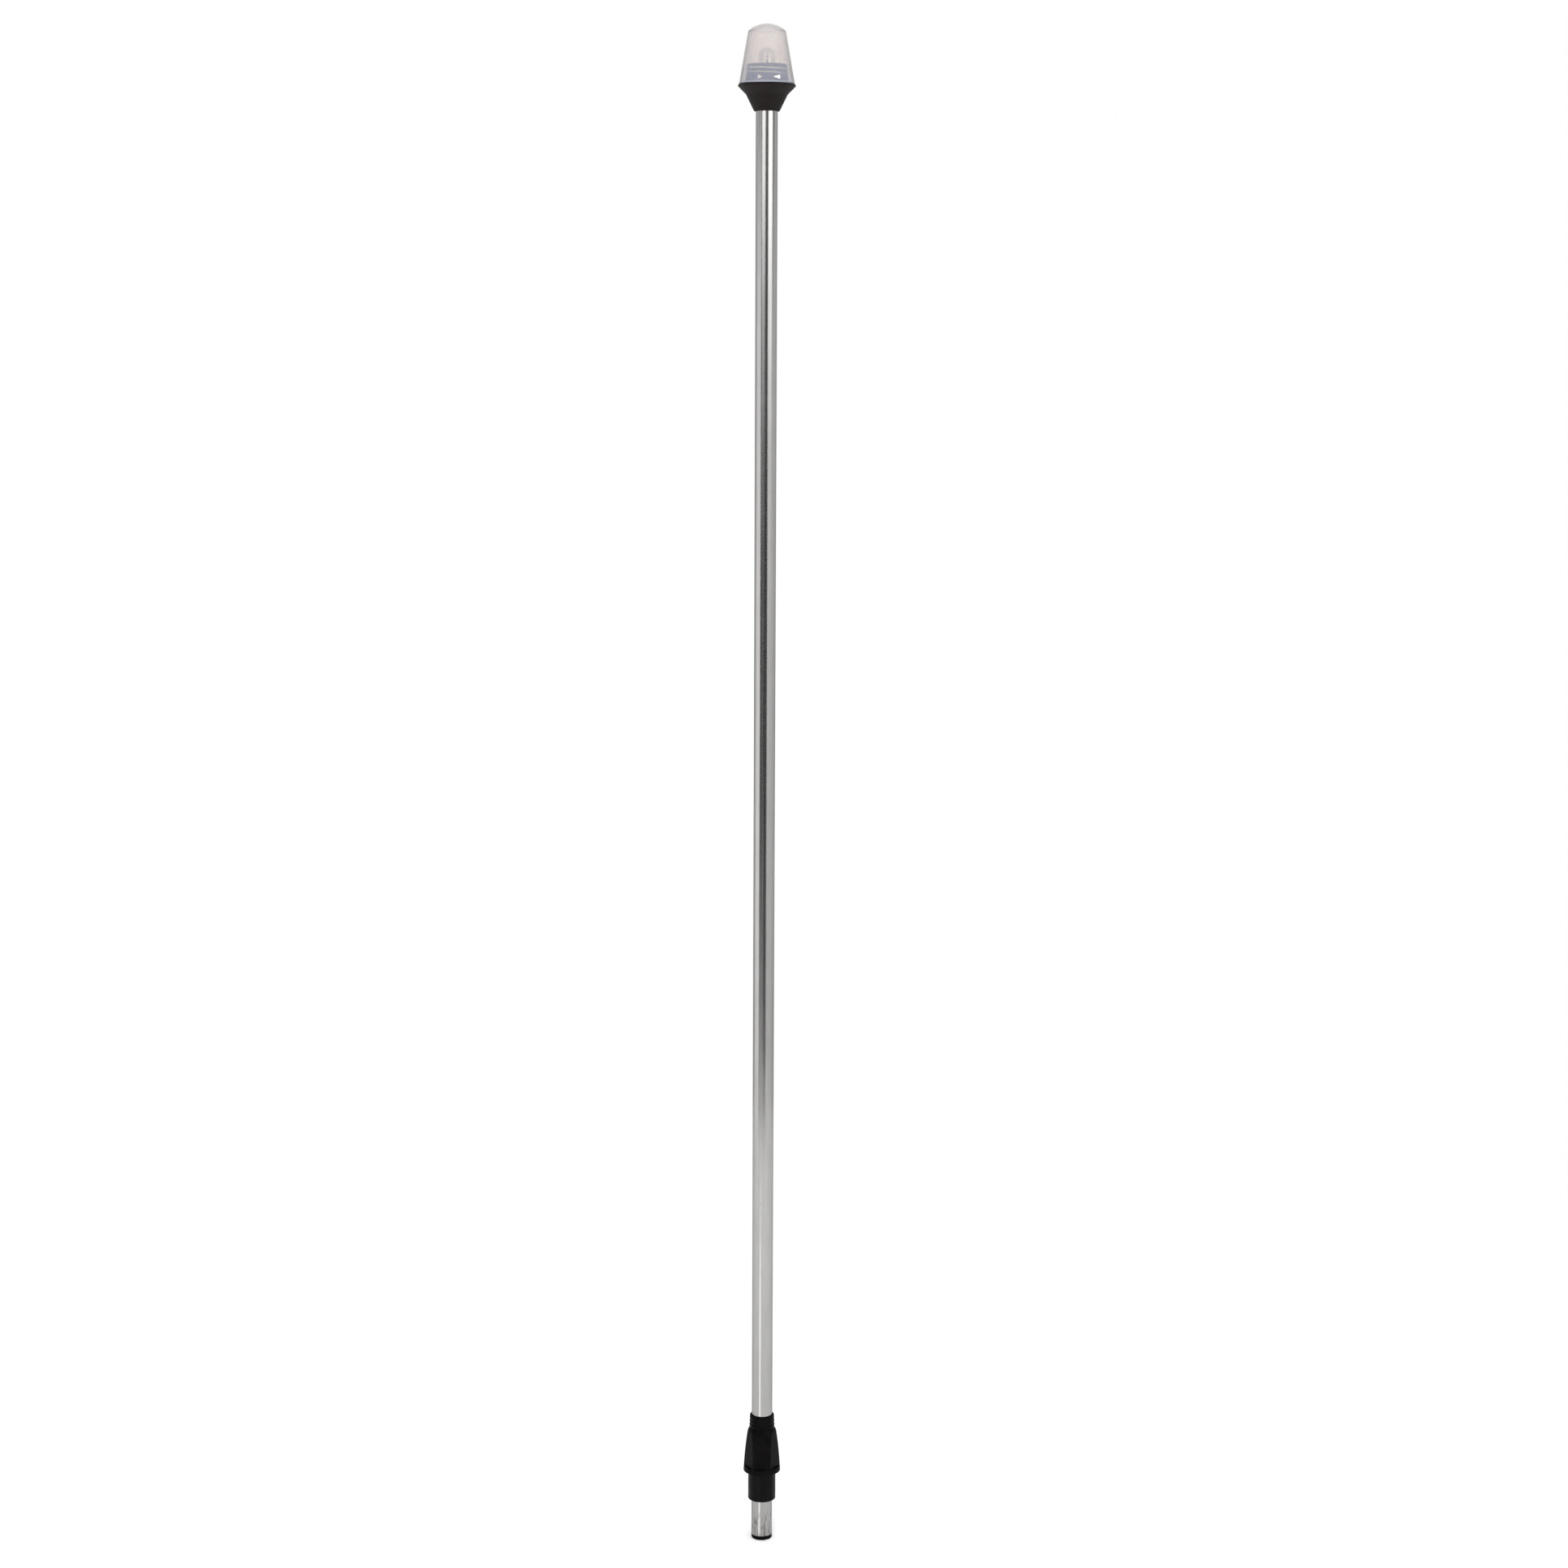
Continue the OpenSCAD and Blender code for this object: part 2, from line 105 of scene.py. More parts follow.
def spread(tree, value, low, high, to_low=0.0, to_high=1.0, smooth=False):
    """value taken from the range low..high to to_low..to_high."""
    node = add(
        tree,
        "ShaderNodeMapRange",
        {0: value, 1: low, 2: high, 3: to_low, 4: to_high},
        interpolation_type="SMOOTHSTEP" if smooth else "LINEAR",
    )
    return node.outputs[0]


def noise(tree, size_mm, stretch=(1, 1, 1), detail=2.0, rough=0.5):
    """Cloudy noise whose features are about size_mm across, longer along an axis by stretch."""
    place = add(tree, "ShaderNodeTexCoord").outputs["Object"]
    scale = [1 / s for s in stretch]
    mapping = add(tree, "ShaderNodeMapping", {"Vector": place, "Scale": scale})
    return add(
        tree,
        "ShaderNodeTexNoise",
        {
            "Vector": mapping.outputs[0],
            "Scale": 1 / (size_mm * MM),
            "Detail": detail,
            "Roughness": rough,
        },
    ).outputs["Fac"]


def two_colours(tree, fac, first, second):
    node = add(tree, "ShaderNodeMix", {0: fac}, data_type="RGBA")
    node.inputs[6].default_value = (*first, 1)
    node.inputs[7].default_value = (*second, 1)
    return node.outputs[2]


def bump(tree, height, depth_mm, before=None):
    sockets = {"Height": height, "Distance": depth_mm * MM, "Strength": 1.0}
    if before:
        sockets["Normal"] = before
    return add(tree, "ShaderNodeBump", sockets).outputs[0]


def material(name):
    """A material with only an output node, and its tree."""
    made = bpy.data.materials.new(name)
    made.use_nodes = True
    made.node_tree.nodes.clear()
    return made, made.node_tree


def surface(tree, shader):
    add(tree, "ShaderNodeOutputMaterial", {"Surface": shader})


# ---------- materials ----------


def moulded(name, dark, light, rough, gloss, grain_mm=0.3, grain_depth=0.006):
    """Moulded plastic or rubber: a fine satin grain, and slow changes of shade and gloss."""
    made, tree = material(name)
    cloud = noise(tree, 9, detail=3)
    grain = noise(tree, grain_mm, detail=2)
    wear = spread(tree, noise(tree, 2.2, stretch=(1, 1, 3), detail=4), 0.55, 0.75)
    normal = bump(tree, cloud, 0.12, bump(tree, grain, grain_depth))
    satin = spread(tree, cloud, 0.3, 0.7, *rough)
    shader = add(
        tree,
        "ShaderNodeBsdfPrincipled",
        {
            "Base Color": two_colours(tree, spread(tree, cloud, 0.35, 0.65), dark, light),
            "Roughness": math_node(tree, "SUBTRACT", satin, math_node(tree, "MULTIPLY", wear, 0.06)),
            "Normal": normal,
            "Specular IOR Level": gloss,
        },
    )
    surface(tree, shader.outputs[0])
    return made


def metal(name, dark, light, rough, line_stretch=(1, 1, 1), line_mm=0.25, depth=0.001):
    """Bare metal with drawn or turned lines and a slight cloud of tarnish."""
    made, tree = material(name)
    cloud = noise(tree, 6, detail=3)
    lines = noise(tree, line_mm, stretch=line_stretch, detail=2)
    shader = add(
        tree,
        "ShaderNodeBsdfPrincipled",
        {
            "Base Color": two_colours(tree, spread(tree, cloud, 0.3, 0.7), dark, light),
            "Metallic": 1.0,
            "Roughness": spread(tree, lines, 0.3, 0.7, *rough),
            "Normal": bump(tree, lines, depth),
        },
    )
    surface(tree, shader.outputs[0])
    return made


SCUFFED_Z = (12, 36)  # heights between which the pole's scuffs fade out
LOW_END_PAINTED_SHADE = (50, 600, 0.68)  # heights between which the painted shade on the pole's lower end lifts, and its darkest share


def mixed_colour(tree, fac, first, second):
    """A colour output, turning to the plain colour second by fac."""
    node = add(tree, "ShaderNodeMix", {0: fac, 6: first, 7: (*second, 1)}, data_type="RGBA")
    return node.outputs[2]


def pole_metal(name):
    """Bright drawn aluminium: faint lines down its length, specks, scuffs on the bare lower end, and
    painted shade that darkens its lower part.
    """
    made, tree = material(name)
    drawn = noise(tree, 0.35, stretch=(1, 1, 400), detail=3)
    haze = noise(tree, 7, stretch=(1, 1, 5), detail=3)
    place = add(tree, "ShaderNodeTexCoord").outputs["Object"]
    height = add(tree, "ShaderNodeSeparateXYZ", {0: place}).outputs[2]
    scuffed_zone = spread(tree, height, SCUFFED_Z[1] * MM, SCUFFED_Z[0] * MM, smooth=True)
    marks = noise(tree, 1.6, stretch=(1, 1, 4.5), detail=5, rough=0.62)
    scuffs = math_node(tree, "MULTIPLY", spread(tree, marks, 0.5, 0.6), scuffed_zone)
    specks = spread(tree, noise(tree, 1.1, stretch=(1, 1, 1.6), detail=0), 0.86, 0.9)
    worn = math_node(tree, "MAXIMUM", scuffs, specks)
    clean = two_colours(tree, spread(tree, haze, 0.3, 0.7), (0.455, 0.45, 0.445), (0.5, 0.495, 0.49))
    # painted shade: the unworn colour is scaled darker towards the pole's lower end, down to the given
    # share near the foot
    dull_z, bright_z, share = LOW_END_PAINTED_SHADE
    shade = spread(tree, height, dull_z * MM, bright_z * MM, share, 1.0)
    clean = add(tree, "ShaderNodeVectorMath", {0: clean, 3: shade}, operation="SCALE").outputs[0]
    polish = spread(tree, drawn, 0.3, 0.7, 0.15, 0.22)
    rough = math_node(tree, "ADD", polish, math_node(tree, "MULTIPLY", worn, 0.22))
    shader = add(
        tree,
        "ShaderNodeBsdfPrincipled",
        {
            "Base Color": mixed_colour(tree, worn, clean, (0.17, 0.155, 0.145)),
            "Metallic": 1.0,
            "Specular Tint": (0.55, 0.54, 0.53, 1),
            "Roughness": rough,
            "Normal": bump(tree, drawn, 0.0004),
        },
    )
    surface(tree, shader.outputs[0])
    return made


MILK = (0.66, 0.71, 0.88)
THICK_MILK = (0.99, 0.99, 0.99)
EDGE_MILK = (0.36, 0.37, 0.45)
RIDGE_MILK = 9.0  # how much more a ridge scatters than the plain wall
STRAIGHT = (0.73, 0.75)  # share of light that passes one plain wall unscattered
INSIDE = ((0, 2.9), (20, 6.4))  # heights over the foot, and how much under the mouth's radius the wall is
RIDGE_TOP = (17, 18)  # heights over the foot between which the ridge's milk ends
EDGE_TOP = (1.0, 1.5)  # the same for the milk of the mouth's edge


def frosted(name):
    """Milky polycarbonate: it passes warm light straight through and scatters the blue share, more
    so aslant and where it is thick, at the ridge inside the wall and at the mouth's edge."""
    made, tree = material(name)
    foot, _, mouth = extent("globe")
    cloud = noise(tree, 12, detail=2)
    place = add(tree, "ShaderNodeTexCoord").outputs["Object"]
    level = add(tree, "ShaderNodeVectorMath", {0: place, 1: (1, 1, 0)}, operation="MULTIPLY").outputs[0]
    from_axis = add(tree, "ShaderNodeVectorMath", {0: level}, operation="LENGTH").outputs["Value"]
    height = add(tree, "ShaderNodeSeparateXYZ", {0: place}).outputs[2]
    (low, low_in), (high, high_in) = INSIDE
    low_r, high_r = (mouth - low_in) * MM, (mouth - high_in) * MM
    wall = spread(tree, height, (foot + low) * MM, (foot + high) * MM, low_r, high_r)
    inward = math_node(tree, "SUBTRACT", wall, from_axis)
    ridge = spread(tree, inward, 0, 1.2 * MM, smooth=True)
    full, gone = ((foot + z) * MM for z in RIDGE_TOP)
    ridge = math_node(tree, "MULTIPLY", ridge, spread(tree, height, gone, full))
    full, gone = ((foot + z) * MM for z in EDGE_TOP)
    edge = spread(tree, height, gone, full, smooth=True)
    thick = math_node(tree, "MAXIMUM", ridge, edge)
    facing = add(tree, "ShaderNodeLayerWeight", {"Blend": 0.5}).outputs["Facing"]
    cosine = math_node(tree, "MAXIMUM", math_node(tree, "SUBTRACT", 1.0, facing), 0.16)
    aslant = math_node(tree, "POWER", cosine, 0.5)
    length = math_node(tree, "DIVIDE", spread(tree, thick, 0, 1, 1, RIDGE_MILK), aslant)
    straight = math_node(tree, "POWER", spread(tree, cloud, 0.3, 0.7, *STRAIGHT), length)
    normal = bump(tree, noise(tree, 0.25, detail=2), 0.002)
    through = add(tree, "ShaderNodeBsdfTransparent", {"Color": (0.99, 0.935, 0.84, 1)})
    deep = math_node(tree, "MAXIMUM", thick, spread(tree, cosine, 0.6, 0.25, 0, 1.0))
    milky = mixed_colour(tree, edge, two_colours(tree, deep, MILK, THICK_MILK), EDGE_MILK)
    satin = {"Base Color": milky, "Roughness": 0.45, "Specular IOR Level": 0.1, "Normal": normal}
    milk = add(tree, "ShaderNodeBsdfPrincipled", satin)
    back = add(tree, "ShaderNodeBsdfTranslucent", {"Color": milky, "Normal": normal})
    scatter = add(tree, "ShaderNodeMixShader", {0: 0.4, 1: milk.outputs[0], 2: back.outputs[0]})
    mixed = add(tree, "ShaderNodeMixShader", {0: straight, 1: scatter.outputs[0], 2: through.outputs[0]})
    glaze = {"Color": (0.84, 0.82, 0.81, 1), "Roughness": 0.3, "Normal": normal}
    gloss = add(tree, "ShaderNodeBsdfGlossy", glaze)
    mirror = add(tree, "ShaderNodeFresnel", {"IOR": 1.12, "Normal": normal}).outputs[0]
    glazed = add(tree, "ShaderNodeMixShader", {0: mirror, 1: mixed.outputs[0], 2: gloss.outputs[0]})
    surface(tree, glazed.outputs[0])
    return made


def clear_glass(name):
    """Thin clear glass: it darkens a little towards its outline, where it also mirrors the room."""
    made, tree = material(name)
    ripple = noise(tree, 5, stretch=(1, 1, 2.5), detail=1)
    normal = bump(tree, ripple, 0.05)
    facing = add(tree, "ShaderNodeLayerWeight", {"Blend": 0.5}).outputs["Facing"]
    face_on, edge_on = (0.985, 0.99, 0.99), (0.72, 0.72, 0.74)
    tint = two_colours(tree, math_node(tree, "POWER", facing, 3.0), face_on, edge_on)
    through = add(tree, "ShaderNodeBsdfTransparent", {"Color": tint})
    gloss = add(tree, "ShaderNodeBsdfGlossy", {"Color": WHITE, "Roughness": 0.04, "Normal": normal})
    mixed = add(tree, "ShaderNodeMixShader", {0: 0.12, 1: through.outputs[0], 2: gloss.outputs[0]})
    surface(tree, mixed.outputs[0])
    return made


def make_materials():
    """One material for each of the record's material slots."""
    black = (0.0045, 0.0028, 0.0026)
    soft_black = (0.009, 0.0058, 0.0054)
    deep_black = (0.0012, 0.001, 0.001)
    worn_black = (0.0032, 0.0028, 0.0027)
    return {
        "globe_frosted": frosted("frosted_globe"),
        "housing_black": moulded("black_housing", black, soft_black, (0.46, 0.58), 0.16),
        "collar_black": moulded("black_grip", deep_black, worn_black, (0.4, 0.52), 0.035, 0.4, 0.012),
        "sleeve_black": moulded("black_sleeve", deep_black, worn_black, (0.34, 0.44), 0.06),
        "plug_black": moulded("black_plug", deep_black, worn_black, (0.4, 0.5), 0.03),
        "pole_aluminium": pole_metal("drawn_aluminium"),
        "rubber_black": moulded("black_rubber", black, soft_black, (0.65, 0.8), 0.2, 0.5, 0.01),
        "nylon_white": moulded("white_nylon", (0.86, 0.88, 0.92), (0.9, 0.92, 0.96), (0.4, 0.5), 0.4),
        "brass": metal("turned_brass", (0.58, 0.4, 0.16), (0.72, 0.52, 0.24), (0.2, 0.34)),
        "steel": metal("zinc_plated_steel", (0.5, 0.5, 0.5), (0.62, 0.62, 0.61), (0.22, 0.36)),
        "bulb_glass": clear_glass("bulb_glass"),
        "bulb_metal": metal("nickel_wire", (0.5, 0.49, 0.47), (0.6, 0.59, 0.57), (0.25, 0.4)),
        "tungsten": metal("tungsten_coil", (0.16, 0.16, 0.17), (0.24, 0.24, 0.25), (0.35, 0.5)),
        "wire_red": moulded("red_insulation", (0.42, 0.02, 0.015), (0.5, 0.03, 0.02), (0.4, 0.5), 0.4),
        "wire_black": moulded("black_insulation", black, soft_black, (0.4, 0.5), 0.4),
    }


# ---------- meshes ----------


def rounded(points, steps=4):
    """An outline in millimetres, whose corners (r, z, radius) are rounded, as points in metres.
    It is a closed loop, or starts and ends on the axis with corners of radius 0."""
    outline = []
    for i, (r, z, radius) in enumerate(points):
        corner = Vector((r, z))
        if radius <= 0:
            outline.append(corner * MM)
            continue
        before = Vector(points[i - 1][:2]) - corner
        after = Vector(points[(i + 1) % len(points)][:2]) - corner
        half = before.angle(after) / 2
        run = min(radius / math.tan(half), before.length * 0.49, after.length * 0.49)
        middle = (before.normalized() + after.normalized()).normalized()
        centre = corner + middle * run / math.cos(half)
        first = corner + before.normalized() * run - centre
        last = corner + after.normalized() * run - centre
        turn = math.atan2(first.x * last.y - first.y * last.x, first.dot(last))
        for k in range(steps + 1):
            outline.append((centre + Matrix.Rotation(turn * k / steps, 2) @ first) * MM)
    return outline


def smooth_mesh(mesh, sharp_degrees):
    mesh.shade_smooth()
    mesh.set_sharp_from_angle(angle=math.radians(sharp_degrees))


def built(name, bm, sharp_degrees=28):
    """An object from bm, with its faces outward and smooth except across sharp edges."""
    bmesh.ops.remove_doubles(bm, verts=bm.verts, dist=1e-7)
    bmesh.ops.recalc_face_normals(bm, faces=bm.faces)
    mesh = bpy.data.meshes.new(name)
    bm.to_mesh(mesh)
    bm.free()
    smooth_mesh(mesh, sharp_degrees)
    obj = bpy.data.objects.new(name, mesh)
    bpy.context.scene.collection.objects.link(obj)
    return obj


def add_turned(bm, outline, sides=TURNED_SIDES, shape=None, centre_x=0.0, hollow=True):
    """Adds an outline (r, z) turned round a vertical axis; shape(angle, r, z) may change each r.
    A hollow one is a closed loop, and any other starts and ends on the axis."""
    rings = []
    for r, z in outline:
        if r < 1e-7:
            rings.append([bm.verts.new((centre_x, 0, z))])
            continue
        ring = []
        for k in range(sides):
            angle = 2 * math.pi * k / sides
            reach = shape(angle, r, z) if shape else r
            ring.append(bm.verts.new((centre_x + reach * math.cos(angle), reach * math.sin(angle), z)))
        rings.append(ring)
    pairs = list(zip(rings, rings[1:] + rings[:1]))
    for lower, upper in pairs if hollow else pairs[:-1]:
        for k in range(sides):
            j = (k + 1) % sides
            quad = [lower[k % len(lower)], lower[j % len(lower)]]
            quad += [upper[j % len(upper)], upper[k % len(upper)]]
            corners = list(dict.fromkeys(quad))
            if len(corners) > 2:
                bm.faces.new(corners)


def turned(name, points, steps=4, sharp_degrees=28, **options):
    bm = bmesh.new()
    add_turned(bm, rounded(points, steps), **options)
    return built(name, bm, sharp_degrees)


def add_run(bm, rings):
    """Adds a closed body through rings of corners, each a list of points, with flat ends."""
    rings = [[bm.verts.new(p) for p in ring] for ring in rings]
    count = len(rings[0])
    for lower, upper in zip(rings, rings[1:]):
        for k in range(count):
            j = (k + 1) % count
            bm.faces.new([lower[k], lower[j], upper[j], upper[k]])
    bm.faces.new(rings[0][::-1])
    bm.faces.new(rings[-1])


def round_ring(centre, ahead, side, radius, sides=10):
    """Points round a bar's centre, square to ahead."""
    other = ahead.cross(side)
    turns = [2 * math.pi * k / sides for k in range(sides)]
    return [centre + radius * (side * math.cos(a) + other * math.sin(a)) for a in turns]


def at(angle, r, z):
    """A point from degrees round the pole and millimetres from its axis and foot."""
    turn = math.radians(angle)
    return Vector((r * math.cos(turn), r * math.sin(turn), z)) * MM


def pegs(name, places, radius, sides=48):
    """Round bars for cutting or joining: (start, end) points in metres for each."""
    bm = bmesh.new()
    for start, end in places:
        ahead = (end - start).normalized()
        side = ahead.orthogonal().normalized()
        add_run(bm, [round_ring(p, ahead, side, radius, sides) for p in (start, end)])
    return built(name, bm)


def combined(obj, tool, operation, sharp_degrees=28):
    """obj with tool cut out of it or joined to it, as one clean mesh; tool is removed."""
    modifier = obj.modifiers.new("combine", "BOOLEAN")
    modifier.object, modifier.operation, modifier.solver = tool, operation, "EXACT"
    shown = obj.evaluated_get(bpy.context.evaluated_depsgraph_get())
    mesh = bpy.data.meshes.new_from_object(shown)
    obj.modifiers.clear()
    obj.data = mesh
    bpy.data.objects.remove(tool)
    smooth_mesh(mesh, sharp_degrees)
    return obj


def place_piece(obj, body, slot, *nodes):
    """obj rides on body, takes that slot's material and stands for the CAD nodes. Its large faces
    keep their own normals, so that only the rounded edges shade round."""
    shading = obj.modifiers.new("even_shading", "WEIGHTED_NORMAL")
    shading.keep_sharp, shading.weight = True, 100
    obj.data.materials.clear()
    obj.data.materials.append(MATERIALS[slot])
    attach(obj, body)
    if nodes:
        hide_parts(*nodes)


# ---------- pole and plug ----------

POLE_BORE_R = 8.285
STOP_GROOVE = (64.45, 65.95, 0.45)  # lower edge, upper edge and depth
DEPTH_MARK = (37.1, 37.9, 0.2)
PLUG_FLANGE_H = 3.8
PLUG_R = 8.225
SEAL_GROOVE = (13.35, 14.65, 7.045)  # lower edge, upper edge and floor radius
CONTACT_X = 4.0
CONTACT_R = 2.2
CONTACT_BORE_R = 1.6
CONTACT_BORE_L = 15
SOLDER_CUP = (1.18, 3)  # radius and depth of the cup that holds the wire


def make_pole():
    foot, top, r = extent("pole_tube")
    points = [(POLE_BORE_R, foot, 0.2), (r, foot, 0.2)]
    for low, high, depth in (DEPTH_MARK, STOP_GROOVE):
        points += [(r, low, 0.05), (r - depth, low, 0), (r - depth, high, 0), (r, high, 0.05)]
    points += [(r, top, 0.25), (POLE_BORE_R, top, 0.2)]
    place_piece(turned("pole", points, sides=192), "mast", "pole_aluminium", "pole_tube")


def make_plug():
    foot, top, r = extent("plug_body")
    low, high, floor = SEAL_GROOVE
    plug = turned(
        "plug",
        [
            (0, foot, 0),
            (r, foot, 1.1),
            (r, PLUG_FLANGE_H, 0.12),
            (PLUG_R, PLUG_FLANGE_H, 0),
            (PLUG_R, low, 0.1),
            (floor, low, 0.1),
            (floor, high, 0.1),
            (PLUG_R, high, 0.1),
            (PLUG_R, top, 0.8),
            (0, top, 0),
        ],
        steps=6,
        hollow=False,
    )
    ends = [[Vector((x, 0, z)) * MM for z in (-1, top + 1)] for x in (-CONTACT_X, CONTACT_X)]
    combined(plug, pegs("contact_holes", ends, (CONTACT_R + 0.03) * MM), "DIFFERENCE")
    place_piece(plug, "mast", "plug_black", "plug_body")


def make_contacts():
    for side, x in (("left", -CONTACT_X), ("right", CONTACT_X)):
        node = "plug_contact_" + side
        foot, top, _ = extent(node)
        cup_r, cup_depth = SOLDER_CUP
        points = [
            (0, foot + CONTACT_BORE_L, 0),
            (CONTACT_BORE_R, foot + CONTACT_BORE_L, 0.3),
            (CONTACT_BORE_R, foot, 0.25),
            (CONTACT_R, foot, 0.2),
            (CONTACT_R, top, 0.25),
            (cup_r, top, 0.15),
            (cup_r, top - cup_depth, 0),
            (0, top - cup_depth, 0),
        ]
        contact = turned("contact_" + side, points, sides=64, centre_x=x * MM, hollow=False)
        place_piece(contact, "mast", "brass", node)


# ---------- head ----------

GLOBE_WALL = 2.0
SHOULDER = (16.3, 6.0, 2.2)  # radius, height below the top, rounding
DECK_H = 22.9  # the heights of the housing are above its foot
BAND_H = 30.4
WELL_H = 17.0
BAND_R = 19.1
NECK_R = 17.3
WELL_R = 15.4
PASSAGE_R = 6  # the wires' way up from the pole
FUNNEL = (11.1, 18.1, 14.1)  # radius below, radius above, and height
RIM_H = (21.0, 21.7)
DECK_R = 24.3
SCREW_X = 12.3
SCREW_R = 1.52
SCREW_DEPTH = 7
GASKET_BORE_R = 19.4
CREST_R = 18.5  # crest of the neck's ridge
PITCH = 3.7  # of the left-handed thread: the neck's ridge, and the globe's own between its turns
NECK_RIDGE = (2.35, 29.3)  # turns, and the height at which it starts
GLOBE_RIDGE = (1.45, 31.15)
GLOBE_RIDGE_R = 17.85
LEAD_IN = 24  # degrees over which each end of a ridge fades


def globe_outline():
    """The globe's outside and its inside, a wall apart: a leaning wall and a shallow dome."""
    foot, top, mouth = extent("globe")
    edge_r, drop, fillet = SHOULDER
    edge_z = top - drop
    dome_r = (edge_r**2 + drop**2) / (2 * drop)
    dome_z = top - dome_r

    def dome(radius, reach, count=16):
        steps = [reach * k / count for k in range(count)]
        return [(x, dome_z + math.sqrt(radius**2 - x**2), 0) for x in steps]

    lean = (mouth - edge_r) / (edge_z - foot)
    inner_r = edge_r - GLOBE_WALL * 0.9
    inner_z = dome_z + math.sqrt((dome_r - GLOBE_WALL) ** 2 - inner_r**2)
    inner_mouth = inner_r + lean * (inner_z - foot)
    outside = dome(dome_r, edge_r - 1.8) + [(edge_r, edge_z, fillet), (mouth, foot, 0.3)]
    inside = [(inner_mouth, foot, 0.3), (inner_r, inner_z, 0.9)]
    inside += dome(dome_r - GLOBE_WALL, inner_r - 0.8)[::-1]
    return outside + inside, foot, mouth, lean


def make_ridge(name, turns, start_z, section):
    """A ridge that climbs to the left; section(fade, z) gives its corners (r, z) at a height."""
    steps = round(64 * turns)
    rings = []
    for k in range(steps + 1):
        turn = 360 * turns * k / steps
        fade = min(1, (min(turn, 360 * turns - turn) + 1) / LEAD_IN)
        z = start_z + PITCH * turn / 360
        rings.append([at(-turn, r, h) for r, h in section(fade, z)])
    bm = bmesh.new()
    add_run(bm, rings)
    return built(name, bm)


def make_globe():
    points, foot, mouth, lean = globe_outline()
    bm = bmesh.new()
    add_turned(bm, rounded(points, 8), sides=192, hollow=False)
    globe = built("globe_shell", bm, 35)

    half, soft = 0.6, 0.25
    faded_in = GLOBE_WALL / 2 + 0.05  # from the wall's middle to the crest where the ridge has faded

    def section(fade, z):
        out = mouth - lean * (z - foot) - GLOBE_WALL / 2
        faded = out - faded_in
        crest = faded - (faded - GLOBE_RIDGE_R) * fade
        return [
            (out, z - half),
            (crest + soft, z - half),
            (crest, z - half + soft),
            (crest, z + half - soft),
            (crest + soft, z + half),
            (out, z + half),
        ]

    turns, height = GLOBE_RIDGE
    ridge = make_ridge("ridge", turns, extent("housing")[0] + height, section)
    combined(globe, ridge, "UNION", 35)
    place_piece(globe, "globe", "globe_frosted", "globe")


def make_neck_ridge(base):
    root_half, crest_half, soft = 0.75, 0.42, 0.12

    def section(fade, z):
        root = NECK_R - 0.4
        crest = NECK_R + 0.05 + (CREST_R - NECK_R) * fade
        return [
            (root, z - root_half),
            (crest - soft, z - crest_half),
            (crest, z - crest_half + soft),
            (crest, z + crest_half - soft),
            (crest - soft, z + crest_half),
            (root, z + root_half),
        ]

    turns, height = NECK_RIDGE
    return make_ridge("thread", turns, base + height, section)


def make_housing():
    base, top, rim = extent("housing")
    _, pole_top, pole_r = extent("pole_tube")
    lower_r, upper_r, funnel_h = FUNNEL
    bore_r, stop_z = pole_r + 0.02, pole_top + 0.05
    points = [
        (bore_r, base, 0.15),
        (lower_r, base, 0.45),
        (upper_r, base + funnel_h, 0.9),
        (rim, base + RIM_H[0], 0.25),
        (rim, base + RIM_H[1], 0.25),
        (DECK_R, base + DECK_H, 0.2),
        (BAND_R, base + DECK_H, 0.25),
        (BAND_R, base + BAND_H, 0.9),
        (NECK_R, base + BAND_H, 0.3),
        (NECK_R, top, 0.5),
        (WELL_R, top, 0.3),
        (WELL_R, base + WELL_H, 0.5),
        (PASSAGE_R, base + WELL_H, 0.3),
        (PASSAGE_R, stop_z, 0),
        (bore_r, stop_z, 0.2),
    ]
    housing = turned("housing_shell", points, steps=5, sides=192)
    combined(housing, make_neck_ridge(base), "UNION")
    floor = (base + WELL_H) * MM
    heights = (floor - SCREW_DEPTH * MM, floor + MM)
    holes = [[Vector((x * MM, 0, z)) for z in heights] for x in (-SCREW_X, SCREW_X)]
    combined(housing, pegs("screw_holes", holes, SCREW_R * MM), "DIFFERENCE")
    place_piece(housing, "mast", "housing_black", "housing")


def make_gasket():
    low, high, r = extent("globe_gasket")
    bore = GASKET_BORE_R
    points = [(bore, low, 0.5), (r, low, 0.5), (r, high, 0.5), (bore, high, 0.5)]
    place_piece(turned("gasket", points), "gasket", "rubber_black", "globe_gasket")


ARROW_H = 27.8  # above the housing's foot


